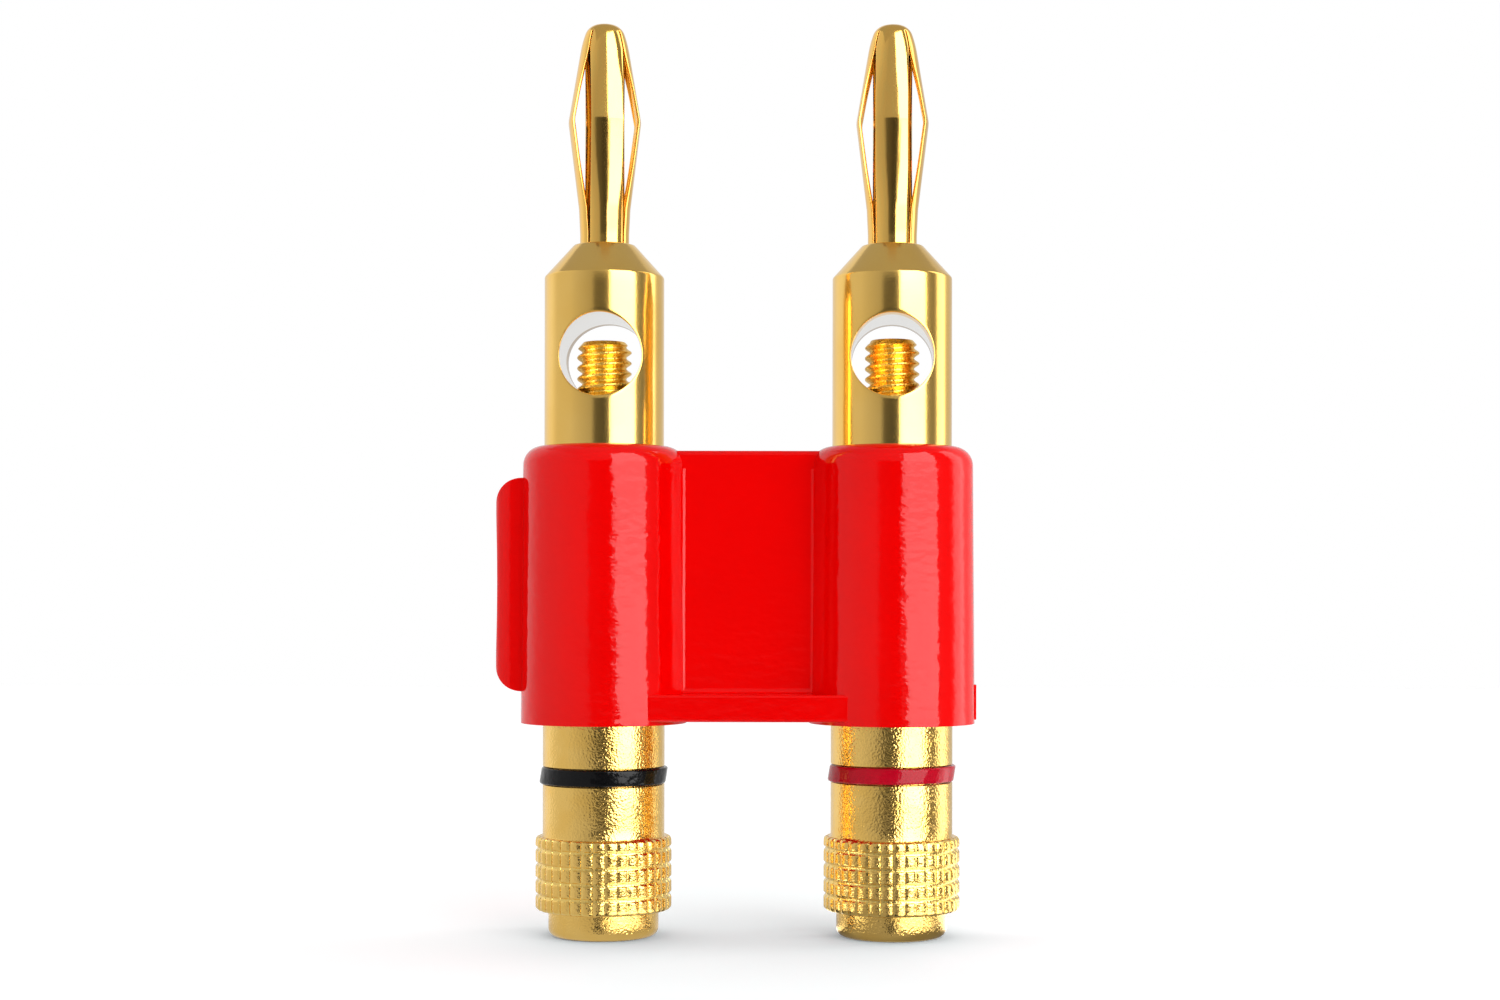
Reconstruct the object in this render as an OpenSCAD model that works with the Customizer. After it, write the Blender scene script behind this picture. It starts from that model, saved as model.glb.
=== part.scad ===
// Dual banana plug: two 4 mm plugs side by side in one moulded housing.
// A knurled thumbscrew under each plug clamps a wire in the plug's cross hole.
// It stands on its thumbscrews with the plugs pointing up: z = 0 is the table,
// x runs through both plugs and y = 0 is the plane of their axes.

/* [Layout] */
// distance between the two plug axes
plug_pitch = 19.05; // [17:0.05:25]
// height of the plugs' shoulders above the table
shoulder_z = 45.6; // [45.2:0.1:50]
// free height of a plug above its shoulder
plug_len = 14.6; // [14:0.1:18]

/* [Plug body] */
// diameter of the polished body
body_d = 7.9; // [7.6:0.1:8.2]
// diameter of the cross hole for the wire
wire_hole_d = 5.6; // [4.6:0.1:5.8]
// height of the cross hole's centre above the table
wire_hole_z = 38.1; // [37.8:0.1:38.6]
// diameter of the flat on top of the shoulder
shoulder_d = 4.1; // [3.6:0.1:5]
// diameter of the core pin inside the spring
core_d = 2.6; // [2.2:0.02:2.7]

/* [Contact spring] */
// widest diameter, at the bulge of the leaves
bulge_d = 4.78; // [4.5:0.02:4.9]
// thickness of the spring's sheet
sheet_t = 0.18; // [0.14:0.01:0.2]
// width of each of the four leaves
leaf_w = 2.15; // [1.8:0.05:2.2]
// width of the slits between the leaves at the tip
slit_w = 0.14; // [0.1:0.02:0.3]

/* [Thumbscrew] */
// diameter over the knurled grip
grip_d = 9; // [8.7:0.1:9.6]
// height of the knurled grip
grip_h = 4.85; // [4.2:0.05:5]
// teeth around the grip
tooth_count = 36; // [28:1:40]
// rows of teeth
row_count = 5; // [3:1:6]
// diameter of the plain part of the head
head_d = 8.05; // [7.8:0.05:8.2]
// diameter of the foot below the grip
foot_d = 7.28; // [6.6:0.02:7.6]
// diameter of the screwed shank
shank_d = 3.6; // [3.4:0.05:3.7]
// diameter of the stacking socket in the foot
socket_d = 4.1; // [4.1:0.01:4.2]
// depth of the stacking socket
socket_depth = 15.2; // [14.8:0.1:15.8]

/* [Polarity ring] */
// outside diameter of the ring
ring_d = 8.34; // [8.24:0.02:8.6]
// width of the ring
ring_w = 1.08; // [0.8:0.04:1.2]

/* [Housing] */
// barrel diameter at the top
barrel_top_d = 10.7; // [10.4:0.05:10.8]
// barrel diameter at the bottom
barrel_foot_d = 10.95; // [10.85:0.05:11.4]
// height of the housing's top above the table
housing_top_z = 32.3; // [31.5:0.1:33]
// rounding around each barrel's top
barrel_round = 1.25; // [0.6:0.05:1.3]
// thickness of the web between the barrels
web_t = 2.6; // [2:0.1:4]
// depth of the ledge across the bottom of the web
ledge_w = 9; // [6:0.1:9.4]
// height of the ledge
ledge_h = 1.75; // [1:0.05:3]
// how far the side tab reaches from the plug's axis
tab_reach = 7.15; // [6.8:0.05:8]
// thickness of the side tab
tab_t = 2.2; // [1.6:0.1:3]

/* [Hidden] */
$fn = 96;
eps = 0.01;
brass_gold = [0.93, 0.73, 0.33];
red = [0.86, 0.02, 0.03];
black = [0.03, 0.03, 0.035];
dark_red = [0.42, 0.02, 0.04];

// thumbscrew
foot_h = 1.75;
foot_round = 0.55;
grip_r = grip_d / 2;
grip_top = foot_h + grip_h;
tooth_round = 0.14;                    // softening of each row's edges
tooth_depth = 0.26;
gap_outer = 0.44;                      // gap between two teeth, at their tips
gap_inner = 0.14;                      // and at their roots
groove_h = 0.29;                       // groove between two rows of teeth
row_pitch = (grip_h + groove_h) / row_count;
head_r = head_d / 2;
head_top = 18;
head_edge = 0.4;
shank_r = shank_d / 2;
shank_top = 39.25;
shank_edge = 0.35;
socket_lead = 0.4;                     // cone at the socket's mouth
drill_point = 1.1;

// polarity ring and the groove it sits in
ring_z = 9.98;
ring_play = 0.03;
ring_bore_r = 3.6;
ring_seat_r = ring_bore_r - 0.05;
ring_round = 0.16;

// plug body
body_r = body_d / 2;
shoulder_r = shoulder_d / 2;
shoulder_edge = 0.15;
cone_h = body_r - shoulder_r;          // a 45 degree shoulder
core_r = core_d / 2;
core_edge = 0.3;
dome_top = shoulder_z + plug_len;
core_top = dome_top - 1.6;
collar_z = 20.2;                       // lower end of the plug body
collar_h = 1;
body_bore_r = shank_r + 0.04;
hole_lead = 0.3;

// contact spring: its band sits in a recess round the core, below the shoulder
band_r = 1.62;
band_h = 0.8;
bulge_z = shoulder_z + 8.1;
slit_top = dome_top - 0.5;

// housing
housing_foot_z = 14.07;
head_bore_r = head_r + 0.3;            // the head turns freely in the barrel
web_foot_z = housing_foot_z + 0.25;
web_top_z = housing_top_z - 0.3;
web_edge = 0.3;
web_fillet = 0.35;
ledge_edge = 0.2;
tab_foot_z = 16.15;
tab_top_z = 30.2;
tab_round = 1.8;
tab_waist = 0.12;                      // how far its outer edge is hollowed
tab_waist_r = 100;

// a solid of revolution about a plug's axis, from pairs of r and z
module turned(points) rotate_extrude() polygon(points);

// put a sub-part on the left (-1) or right (+1) plug axis
module at_plug(side) translate([side * plug_pitch / 2, 0, 0]) children();

// plug body: collar, polished cylinder, cone, flat shoulder and core pin
module plug_blank() {
    turned([[0, collar_z], [head_bore_r, collar_z], [head_bore_r, collar_z + collar_h],
            [body_r, collar_z + collar_h], [body_r, shoulder_z - cone_h],
            [shoulder_r, shoulder_z - shoulder_edge],
            [shoulder_r - shoulder_edge, shoulder_z], [band_r, shoulder_z],
            [band_r, shoulder_z - band_h], [core_r, shoulder_z - band_h],
            [core_r, core_top - core_edge], [core_r - core_edge, core_top],
            [0, core_top]]);
}

module wire_hole() {
    rotate([90, 0, 0]) {
        cylinder(d = wire_hole_d, h = body_d + 1, center = true);
        for (end = [0, 180])
            rotate([end, 0, 0])
                translate([0, 0, body_r - 0.2])
                    cylinder(r1 = wire_hole_d / 2, r2 = wire_hole_d / 2 + hole_lead,
                             h = hole_lead);
    }
}

module plug_body() {
    difference() {
        plug_blank();
        // the screw's bore opens into the wire hole
        translate([0, 0, collar_z - eps])
            cylinder(r = body_bore_r, h = wire_hole_z - collar_z);
        translate([0, 0, wire_hole_z]) wire_hole();
    }
}

// contact spring: a band, four bowed leaves and a closed dome
// outline of the spring from the axis out, drawn in by the given amount
module spring_outline(inset) {
    dome_r = 0.95;
    dome_foot_r = 1.37;                // where the dome's arc ends
    dome_foot_z = dome_top - dome_r;
    leaf_top_r = 1.6;
    bow_r = 3.4;                       // bend of the leaves at the bulge
    bow_low = 0.43;
    bow_high = 0.51;
    polygon([[0, shoulder_z - band_h], [band_r - inset, shoulder_z - band_h],
             [band_r - inset, shoulder_z + 0.75], [1.7 - inset, shoulder_z + 2.4],
             [bulge_d / 2 - 0.025 - inset, bulge_z - bow_low],
             [bulge_d / 2 - 0.04 - inset, bulge_z + bow_high],
             [leaf_top_r - inset, dome_top - 1.75],
             [dome_foot_r - inset, dome_foot_z], [0, dome_foot_z]]);
    intersection() {
        translate([bulge_d / 2 - bow_r, bulge_z]) circle(r = bow_r - inset);
        translate([0, bulge_z - bow_low]) square([bulge_d, bow_low + bow_high]);
    }
    translate([0, dome_foot_z - eps])
        square([dome_foot_r - dome_r, dome_r + eps - inset]);
    intersection() {
        translate([dome_foot_r - dome_r, dome_foot_z]) circle(r = dome_r - inset);
        translate([0, dome_foot_z - eps]) square(dome_r * 2);
    }
}

// what is cut away between the leaves, which keep an even width
module leaf_gaps() {
    difference() {
        circle(d = 2 * bulge_d);
        for (turn = [0, 90]) rotate(turn) square([leaf_w, 3 * bulge_d], center = true);
    }
    for (turn = [45, 135]) rotate(turn) square([slit_w, bulge_d], center = true);
}

module contact_spring() {
    difference() {
        rotate_extrude() intersection() {
            difference() {
                spring_outline(0);
                spring_outline(sheet_t);
            }
            // the band is open at its foot
            translate([0, shoulder_z - band_h]) square([bulge_d, 2 * plug_len]);
        }
        translate([0, 0, shoulder_z]) linear_extrude(slit_top - shoulder_z) leaf_gaps();
    }
}

// thumbscrew grip before its gaps are cut: one soft-edged disc for each row
module grip_blank() {
    core = grip_r - tooth_round;
    tooth_h = row_pitch - groove_h;
    turned([[0, foot_h], [core - tooth_round, foot_h], [core, foot_h + tooth_round],
            [core, grip_top - tooth_round], [core - tooth_round, grip_top],
            [0, grip_top]]);
    for (row = [0 : row_count - 1])
        translate([0, 0, foot_h + row * row_pitch])
            turned([[0, tooth_round / 2], [core, tooth_round / 2],
                    [grip_r, 1.5 * tooth_round], [grip_r, tooth_h - tooth_round],
                    [core, tooth_h], [0, tooth_h]]);
}

module tooth_gap() {
    translate([0, 0, foot_h - eps]) linear_extrude(grip_h + 2 * eps)
        polygon([[grip_r - tooth_depth, -gap_inner / 2], [grip_r + 0.1, -gap_outer / 2],
                 [grip_r + 0.1, gap_outer / 2], [grip_r - tooth_depth, gap_inner / 2]]);
}

module grip() {
    difference() {
        grip_blank();
        for (tooth = [0 : tooth_count - 1])
            rotate([0, 0, (tooth + 0.5) * 360 / tooth_count]) tooth_gap();
    }
}

module foot() {
    rotate_extrude() {
        square([foot_d / 2 - foot_round, foot_h]);
        translate([0, foot_round]) square([foot_d / 2, foot_h - foot_round + eps]);
        intersection() {
            translate([foot_d / 2 - foot_round, foot_round]) circle(r = foot_round);
            square([foot_d, foot_h]);
        }
    }
}

// head with the ring's groove, then the shank
module head_and_shank() {
    groove_foot = ring_z - ring_play;
    groove_top = ring_z + ring_w + ring_play;
    turned([[0, grip_top - eps], [head_r, grip_top - eps], [head_r, groove_foot],
            [ring_seat_r, groove_foot], [ring_seat_r, groove_top], [head_r, groove_top],
            [head_r, head_top - head_edge], [head_r - head_edge, head_top],
            [shank_r, head_top], [shank_r, shank_top - shank_edge],
            [shank_r - shank_edge, shank_top], [0, shank_top]]);
}

// socket for another plug, with a drilled end and a lead-in
module stacking_socket() {
    socket_r = socket_d / 2;
    turned([[0, -1], [socket_r + socket_lead, -1], [socket_r + socket_lead, 0],
            [socket_r, socket_lead], [socket_r, socket_depth],
            [0, socket_depth + drill_point]]);
}

module thumbscrew() {
    difference() {
        union() {
            foot();
            grip();
            head_and_shank();
        }
        stacking_socket();
    }
}

module polarity_ring() {
    ring_r = ring_d / 2;
    translate([0, 0, ring_z]) rotate_extrude() {
        translate([ring_bore_r, 0]) square([ring_r - ring_round - ring_bore_r, ring_w]);
        translate([ring_bore_r, ring_round])
            square([ring_r - ring_bore_r, ring_w - 2 * ring_round]);
        for (z = [ring_round, ring_w - ring_round])
            translate([ring_r - ring_round, z]) circle(r = ring_round);
    }
}

// one of the housing's two barrels, a little wider at its foot
module barrel() {
    top_r = barrel_top_d / 2;
    straight_top = housing_top_z - barrel_round;
    rotate_extrude() {
        polygon([[0, housing_foot_z], [barrel_foot_d / 2, housing_foot_z],
                 [top_r, straight_top], [0, straight_top]]);
        translate([0, straight_top - eps])
            square([top_r - barrel_round, barrel_round + eps]);
        intersection() {
            translate([top_r - barrel_round, straight_top]) circle(r = barrel_round);
            translate([0, straight_top - eps]) square([top_r, barrel_round + 1]);
        }
    }
}

// cross-section of the web and its ledge, y to the right and z up
module web_section() {
    half = web_t / 2;
    ledge_top = web_foot_z + ledge_h;
    // the web's plate with rounded top edges
    translate([-half, web_foot_z]) square([web_t, web_top_z - web_edge - web_foot_z]);
    translate([-half + web_edge, web_foot_z])
        square([web_t - 2 * web_edge, web_top_z - web_foot_z]);
    for (side = [-1, 1])
        translate([side * (half - web_edge), web_top_z - web_edge]) circle(r = web_edge);
    // ledge with softened edges
    translate([-ledge_w / 2, web_foot_z + ledge_edge])
        square([ledge_w, ledge_h - 2 * ledge_edge]);
    translate([-ledge_w / 2 + ledge_edge, web_foot_z])
        square([ledge_w - 2 * ledge_edge, ledge_h]);
    for (side = [-1, 1], z = [ledge_edge, ledge_h - ledge_edge])
        translate([side * (ledge_w / 2 - ledge_edge), web_foot_z + z])
            circle(r = ledge_edge);
    // fillets where the web rises from the ledge
    difference() {
        translate([-half - web_fillet, ledge_top - eps])
            square([web_t + 2 * web_fillet, web_fillet + eps]);
        for (side = [-1, 1])
            translate([side * (half + web_fillet), ledge_top + web_fillet])
                circle(r = web_fillet);
    }
}

module web() {
    rotate([90, 0, 90]) linear_extrude(plug_pitch - 2, center = true) web_section();
}

// fillets where the web meets the left barrel
module web_corners() {
    fillet_y = web_t / 2 + web_fillet;
    fillet_x = sqrt(pow(barrel_top_d / 2 + web_fillet, 2) - pow(fillet_y, 2));
    foot_z = web_foot_z + ledge_h - 0.1;
    translate([0, 0, foot_z]) linear_extrude(web_top_z - 1.2 - foot_z)
        for (side = [-1, 1]) difference() {
            polygon([[0, 0], [fillet_x, 0], [fillet_x, side * fillet_y]]);
            translate([fillet_x, side * fillet_y]) circle(r = web_fillet);
        }
}

// side view of the tab, x across and z up
module tab_side() {
    length = tab_reach - body_r - 0.5;
    height = tab_top_z - tab_foot_z;
    difference() {
        translate([-tab_reach, tab_foot_z]) {
            translate([tab_round, 0]) square([length - tab_round, height]);
            translate([0, tab_round]) square([length, height - 2 * tab_round]);
            for (z = [tab_round, height - tab_round])
                translate([tab_round, z]) circle(r = tab_round);
        }
        translate([tab_waist - tab_reach - tab_waist_r, (tab_foot_z + tab_top_z) / 2])
            circle(r = tab_waist_r);
    }
}

// tab on the left barrel, with a fully rounded outer edge
module side_tab() {
    intersection() {
        rotate([90, 0, 0]) linear_extrude(2 * tab_t, center = true) tab_side();
        linear_extrude(housing_top_z) {
            translate([tab_t / 2 - tab_reach, 0]) circle(d = tab_t);
            translate([tab_t / 2 - tab_reach, -tab_t / 2]) square([tab_reach, tab_t]);
        }
    }
}

// mark left by the mould's gate, low on the right barrel
module gate_mark() {
    mark_w = 1.2;
    translate([0, -mark_w / 2, web_foot_z]) cube([barrel_foot_d / 2 + 0.08, mark_w, 2.3]);
}

module housing_bores() {
    translate([0, 0, housing_foot_z - 1])
        cylinder(r = head_bore_r, h = collar_z + collar_h - housing_foot_z + 1);
    translate([0, 0, housing_foot_z]) cylinder(r = body_r, h = housing_top_z);
}

module housing() color(red) difference() {
    union() {
        for (side = [-1, 1]) at_plug(side) barrel();
        web();
        at_plug(-1) web_corners();
        at_plug(1) mirror([1, 0, 0]) web_corners();
        at_plug(-1) side_tab();
        at_plug(1) gate_mark();
    }
    for (side = [-1, 1]) at_plug(side) housing_bores();
}

module left_body() color(brass_gold) at_plug(-1) plug_body();
module right_body() color(brass_gold) at_plug(1) plug_body();
module left_spring() color(brass_gold) at_plug(-1) contact_spring();
module right_spring() color(brass_gold) at_plug(1) contact_spring();
module left_thumbscrew() color(brass_gold) at_plug(-1) thumbscrew();
module right_thumbscrew() color(brass_gold) at_plug(1) thumbscrew();
module left_ring() color(black) at_plug(-1) polarity_ring();
module right_ring() color(dark_red) at_plug(1) polarity_ring();

housing();
left_body();
right_body();
left_spring();
right_spring();
left_thumbscrew();
right_thumbscrew();
left_ring();
right_ring();
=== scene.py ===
import math

import bmesh
import bpy
import numpy as np
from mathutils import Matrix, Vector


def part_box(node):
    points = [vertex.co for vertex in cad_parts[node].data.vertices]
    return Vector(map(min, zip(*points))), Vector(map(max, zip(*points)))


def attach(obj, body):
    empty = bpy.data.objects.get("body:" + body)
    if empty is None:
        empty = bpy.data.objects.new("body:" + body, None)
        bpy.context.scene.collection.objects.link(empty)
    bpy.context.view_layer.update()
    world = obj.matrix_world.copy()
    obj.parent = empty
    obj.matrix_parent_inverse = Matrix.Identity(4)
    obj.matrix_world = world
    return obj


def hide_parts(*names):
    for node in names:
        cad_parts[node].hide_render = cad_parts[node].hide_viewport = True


# Dual banana plug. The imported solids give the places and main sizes; this script adds the
# rounded wire holes, knurls, threads, sprung leaves and finishes. Lengths are written in
# mm and become metres through MM. z is up, and the camera looks along +y.

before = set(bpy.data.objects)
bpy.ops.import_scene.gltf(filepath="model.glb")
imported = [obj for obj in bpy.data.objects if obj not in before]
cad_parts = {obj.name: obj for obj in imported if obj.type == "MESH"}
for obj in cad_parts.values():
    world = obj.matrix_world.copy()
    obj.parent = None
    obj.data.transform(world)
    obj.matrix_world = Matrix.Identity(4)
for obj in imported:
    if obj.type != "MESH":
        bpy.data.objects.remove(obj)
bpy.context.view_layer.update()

MM = 0.001
TURN = 2 * math.pi


# Measures taken from the solids.

def node_sizes(node):
    """Middle of a node across x, half its width, and its lowest and highest z, in mm."""
    low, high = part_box(node)
    middle = (low[0] + high[0]) / 2 / MM
    return middle, (high[0] - low[0]) / 2 / MM, low[2] / MM, high[2] / MM


LEFT_X, GRIP_R = node_sizes("left_thumbscrew")[:2]
RIGHT_X = node_sizes("right_thumbscrew")[0]
RING_R, RING_FOOT, RING_TOP = node_sizes("left_ring")[1:]
SPRING_R, SPRING_FOOT, TIP_TOP = node_sizes("left_spring")[1:]
COLLAR_R, BODY_FOOT, CORE_TOP = node_sizes("left_body")[1:]
BAND_H = 0.8                           # of the spring's band, sunk below the shoulder
SHOULDER = SPRING_FOOT + BAND_H


# Outlines, as rows of (r, z) in mm.

def line(start, end, steps):
    """Points on a straight stretch, without its end: start + t (end - start)."""
    t = np.arange(steps)[:, None] / steps
    return np.array(start) + t * (np.array(end) - np.array(start))


def arc(centre, radius, start, end, steps):
    """Points on a round stretch, without its end: centre + radius (cos a, sin a)."""
    angle = np.radians(start + (end - start) * np.arange(steps) / steps)
    return np.array(centre) + radius * np.column_stack([np.cos(angle), np.sin(angle)])


def curve(start, pull, end, steps):
    """Points on a bend, without its end: (1-t)^2 start + 2t(1-t) pull + t^2 end."""
    t = np.arange(steps)[:, None] / steps
    return ((1 - t) ** 2 * np.array(start) + 2 * t * (1 - t) * np.array(pull)
            + t ** 2 * np.array(end))


def point(r, z):
    """A single point, for an outline's end."""
    return np.array([[r, z]])


def soft_step(value):
    """0 below 0, 1 above 1, and 3 t^2 - 2 t^3 between."""
    t = np.clip(value, 0, 1)
    return t * t * (3 - 2 * t)


# Meshes.

WELD_DISTANCE = 0.001
SHARP_ANGLE = 40                       # degrees between faces that don't shade smoothly


def turned_points(r, z, angle, middle):
    """Surface of revolution about a plug axis: (middle + r cos a, r sin a, z)."""
    r, z, angle = np.broadcast_arrays(r, z, angle)
    return np.stack([middle + r * np.cos(angle), r * np.sin(angle), z], axis=-1)


def band_faces(first, second, count):
    """Four-cornered faces between two closed rings of count points each, which start at
    the given vertex numbers. The outline runs up the outside, so they face outwards."""
    here = np.arange(count)
    there = (here + 1) % count
    return np.column_stack([first + here, first + there, second + there, second + here])


def ring_faces(rows, count, start=0):
    """Faces of a stack of closed rings."""
    firsts = start + np.arange(rows - 1) * count
    return np.concatenate([band_faces(f, f + count, count) for f in firsts])


def pole_faces(pole, ring, count, upwards):
    """Triangles that close a ring of count points with one vertex at its middle."""
    here = ring + np.arange(count)
    there = ring + (np.arange(count) + 1) % count
    middle = np.full(count, pole)
    return np.column_stack([here, there, middle] if upwards else [there, here, middle])


def zip_faces(first, first_turn, second, second_turn):
    """Triangles between two closed rings of unlike counts, each given by its vertex
    numbers and rising shares of a turn. Each side of the first ring takes the vertex of
    the second that is nearest to its middle, and each side of the second ring takes the
    vertex of the first at which that choice passes it."""
    count = len(second)
    middles = (first_turn + np.append(first_turn[1:], first_turn[0] + 1)) / 2
    halfway = (second_turn + np.append(second_turn[1:], second_turn[0] + 1)) / 2
    near = np.searchsorted(np.concatenate([halfway - 1, halfway, halfway + 1]), middles)
    passed = near[0] + np.arange(count)
    meets = np.searchsorted(near, passed, side="right") % len(first)
    return np.concatenate([
        np.column_stack([first, np.roll(first, -1), second[near % count]]),
        np.column_stack([first[meets], second[(passed + 1) % count],
                         second[passed % count]])])


def weld(mesh):
    """Join the points of neighbouring patches that lie at the same place."""
    work = bmesh.new()
    work.from_mesh(mesh)
    bmesh.ops.remove_doubles(work, verts=work.verts, dist=WELD_DISTANCE * MM)
    work.to_mesh(mesh)
    work.free()


def add_piece(name, points, faces, finish, body, node):
    """Make a piece from points in mm and lists of faces, with its finish and its body, in
    place of the solid of the given node."""
    mesh = bpy.data.meshes.new(name)
    mesh.from_pydata((points.reshape(-1, 3) * MM).tolist(), [],
                     [face for group in faces for face in group.tolist()])
    weld(mesh)
    mesh.validate()
    mesh.shade_smooth()
    mesh.set_sharp_from_angle(angle=math.radians(SHARP_ANGLE))
    piece = bpy.data.objects.new(name, mesh)
    bpy.context.scene.collection.objects.link(piece)
    mesh.materials.append(finish)
    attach(piece, body)
    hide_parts(node)
    return piece


# Shader maths.

class Value:
    """A number inside a material. Sums and products of values add Math nodes."""

    def __init__(self, shading, socket):
        self.shading = shading
        self.socket = socket

    def maths(self, operation, *others):
        """The result of a Math node for this value and others, such as its square root."""
        return self.shading.node("ShaderNodeMath", {"operation": operation},
                                 dict(enumerate((self, *others))))

    def __add__(self, other):
        return self.maths("ADD", other)

    __radd__ = __add__

    def __sub__(self, other):
        return self.maths("SUBTRACT", other)

    def __rsub__(self, other):
        return self.maths("MULTIPLY", -1).maths("ADD", other)

    def __mul__(self, other):
        return self.maths("MULTIPLY", other)

    __rmul__ = __mul__

    def ramp(self, start, end):
        """0 at start, 1 at end, and a soft slope between."""
        return self.shading.node(
            "ShaderNodeMapRange", {"interpolation_type": "SMOOTHSTEP"},
            {"Value": self, "From Min": start, "From Max": end})

    def ramp_mm(self, start, end):
        """A ramp between two lengths in mm."""
        return self.ramp(start * MM, end * MM)


class Shading:
    """A node tree that is being filled with nodes."""

    def __init__(self, tree):
        self.tree = tree

    def node(self, kind, settings=None, inputs=None, output=0):
        """The chosen output of a new node of a kind, with its settings and its inputs."""
        made = self.tree.nodes.new(kind)
        for name, value in (settings or {}).items():
            setattr(made, name, value)
        self.fill(made, inputs or {})
        return Value(self, made.outputs[output])

    def fill(self, made, inputs):
        """Link or set a node's inputs, each by its name or number."""
        for name, value in inputs.items():
            if isinstance(value, Value):
                self.tree.links.new(value.socket, made.inputs[name])
            else:
                made.inputs[name].default_value = value

    def mix_colours(self, factor, first, second):
        """first where factor is 0, second where it is 1."""
        return self.node("ShaderNodeMix", {"data_type": "RGBA"},
                         {0: factor, 6: first, 7: second}, output=2)

    def noise(self, place, scale, detail, stretch=(1, 1, 1)):
        """Cloudy values about 0.5, scale of them to a millimetre. Each further detail adds
        finer ones, and stretch multiplies the scale along x, y and z."""
        spread = self.node("ShaderNodeMapping", {},
                           {"Vector": place, "Scale": [s * scale / MM for s in stretch]})
        return self.node("ShaderNodeTexNoise", {}, {"Vector": spread, "Scale": 1.0,
                                                    "Detail": detail})

    def part(self, vector, number):
        """The x, y or z of a vector, by its number."""
        return self.node("ShaderNodeSeparateXYZ", {}, {"Vector": vector}, output=number)

    def relief(self, height):
        """A normal for a surface that stands out by height, in mm."""
        return self.node("ShaderNodeBump", {}, {"Strength": 1.0, "Distance": MM,
                                                "Height": height})


def new_finish(name, **settings):
    """A material with its Principled shader's plain inputs set."""
    material = bpy.data.materials.new(name)
    material.use_nodes = True
    shading = Shading(material.node_tree)
    shader = material.node_tree.nodes["Principled BSDF"]
    shading.fill(shader, {k.replace("_", " "): v for k, v in settings.items()})
    place = shading.node("ShaderNodeTexCoord", output="Object")
    return material, shading, shader, place


def colour(r, g, b):
    """An opaque colour, in linear light."""
    return (r, g, b, 1.0)


def length_of(first, second):
    """Length of a flat vector, as a shader value: (a^2 + b^2)^(1/2)."""
    return (first * first + second * second).maths("SQRT")


# Finishes.

GOLD = colour(0.93, 0.605, 0.17)
GOLD_DEEP = colour(0.90, 0.56, 0.135)
GOLD_CLOUDS = 0.35, 0.7                # noise at which plating is plain and deep gold
SPRING_GOLD = colour(0.95, 0.56, 0.13)
# Painted light: a paler gold on the core pin, against the shade between the spring's
# leaves.
CORE_PAINTED_LIGHT = colour(0.96, 0.74, 0.3)
THREAD_GOLD = colour(0.98, 0.62, 0.12)
# Painted light: a paler gold in the grip's grooves, against their shade.
GROOVE_PAINTED_LIGHT = colour(0.95, 0.66, 0.19)
# Painted light deep inside the wire holes, and painted shade near their back mouths.
HOLE_PAINTED_LIGHT = colour(0.92, 0.905, 0.87)
HOLE_PAINTED_SHADE = colour(0.36, 0.22, 0.08)
HOUSING_RED = colour(0.85, 0.0, 0.0)
HOUSING_RED_PALE = colour(0.89, 0.0, 0.0)
RING_BLACK = 0.003, 0.003, 0.0035
RING_RED = 0.48, 0.0005, 0.014
FLOOR_GREY = colour(0.9, 0.9, 0.9)
FLOOR_PALE = colour(0.92, 0.92, 0.92)
FLOOR_LESS_RED = colour(0.825, 0.91, 0.91)

PAINTED_LIGHT_TO_R = 3.65                   # how far from the axis a wire hole's painted light reaches
PAINTED_LIGHT_LESS_IN_FRONT = 1.1           # on the right
PAINTED_LIGHT_LESS_BEHIND = 0.5
PAINTED_LIGHT_FADE = 0.1


def in_wire_hole(x, y, z):
    """Two masks for the wall of either wire hole, from the distance to its axis: painted
    light, a pale wall deep inside, and painted shade, a dark brown band near the back
    mouth. The painted light reaches out to a radius about the plug's axis, which is smaller
    in front on the right, and behind on both."""
    right = x.ramp(-MM, MM)
    left_lean, right_lean = (math.tan(math.radians(twist)) for twist in BODY_TWISTS)
    aside = (x.maths("ABSOLUTE") - RIGHT_X * MM
             + y * (right * (left_lean + right_lean) - left_lean))
    distance = length_of(aside, z - HOLE_Z * MM)
    outward = length_of(aside, y)
    behind = y.ramp(0, MM)
    light_reaches = (PAINTED_LIGHT_TO_R - right * y.ramp(0, -MM) * PAINTED_LIGHT_LESS_IN_FRONT
                   - behind * PAINTED_LIGHT_LESS_BEHIND) * MM
    wall = distance.ramp_mm(HOLE_R + 0.03, HOLE_R + 0.01)
    hole_light = (light_reaches - outward).ramp_mm(0, PAINTED_LIGHT_FADE)
    return wall * hole_light, wall * (1 - hole_light) * behind


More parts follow.
